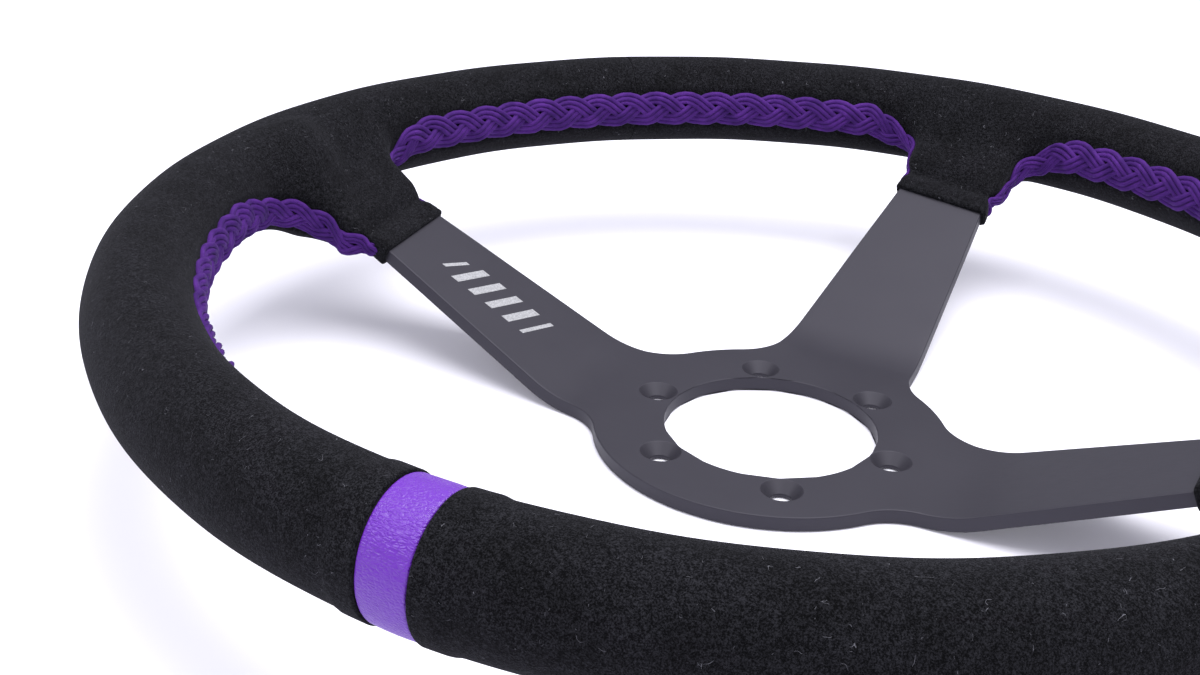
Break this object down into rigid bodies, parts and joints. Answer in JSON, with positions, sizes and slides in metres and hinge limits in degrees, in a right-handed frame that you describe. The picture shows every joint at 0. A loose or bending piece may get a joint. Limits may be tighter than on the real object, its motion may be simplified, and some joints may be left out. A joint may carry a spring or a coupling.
{
  "type": "deep-dish motorsport steering wheel",
  "caption": "Deep-dished steering wheel: a flat bored hub plate with bent tapering spokes carries a round foam grip wrapped in suede, with a leather top stripe and a laced inner seam.",
  "frame": {"origin": "centre of the bore on the hub's back face, the face that bolts to a steering hub and that the wheel lies on", "axes": "+Z along the bore's axis towards the driver, +Y to the top of the wheel, +X to the driver's right"},
  "size_m": [0.35, 0.35, 0.0631],
  "materials": {
    "anodised_aluminium": "satin black anodised, slightly brushed",
    "core_aluminium": "mill finish",
    "rivet_aluminium": "plain",
    "moulded_foam": "moulded black polyurethane foam",
    "suede": "black microfibre suede with a short nap",
    "stripe_leather": "purple fine-grained leather, satin",
    "seam_thread": "black sewing thread",
    "lacing_thread": "purple waxed thread"
  },
  "bodies": {
    "root": {"spoke_plate": "anodised_aluminium", "rim_core_ring": "core_aluminium", "rivet_right_a": "rivet_aluminium", "rivet_right_b": "rivet_aluminium", "rivet_bottom_a": "rivet_aluminium", "rivet_bottom_b": "rivet_aluminium", "rivet_left_a": "rivet_aluminium", "rivet_left_b": "rivet_aluminium", "grip_foam": "moulded_foam", "suede_panel_right": "suede", "suede_panel_bottom": "suede", "suede_panel_left": "suede", "centre_stripe": "stripe_leather", "stripe_seam_thread_right": "seam_thread", "stripe_seam_thread_left": "seam_thread", "lower_seam_thread_right": "seam_thread", "lower_seam_thread_left": "seam_thread", "lacing_top": "lacing_thread", "lacing_lower_right": "lacing_thread", "lacing_lower_left": "lacing_thread"}
  },
  "joints": []
}
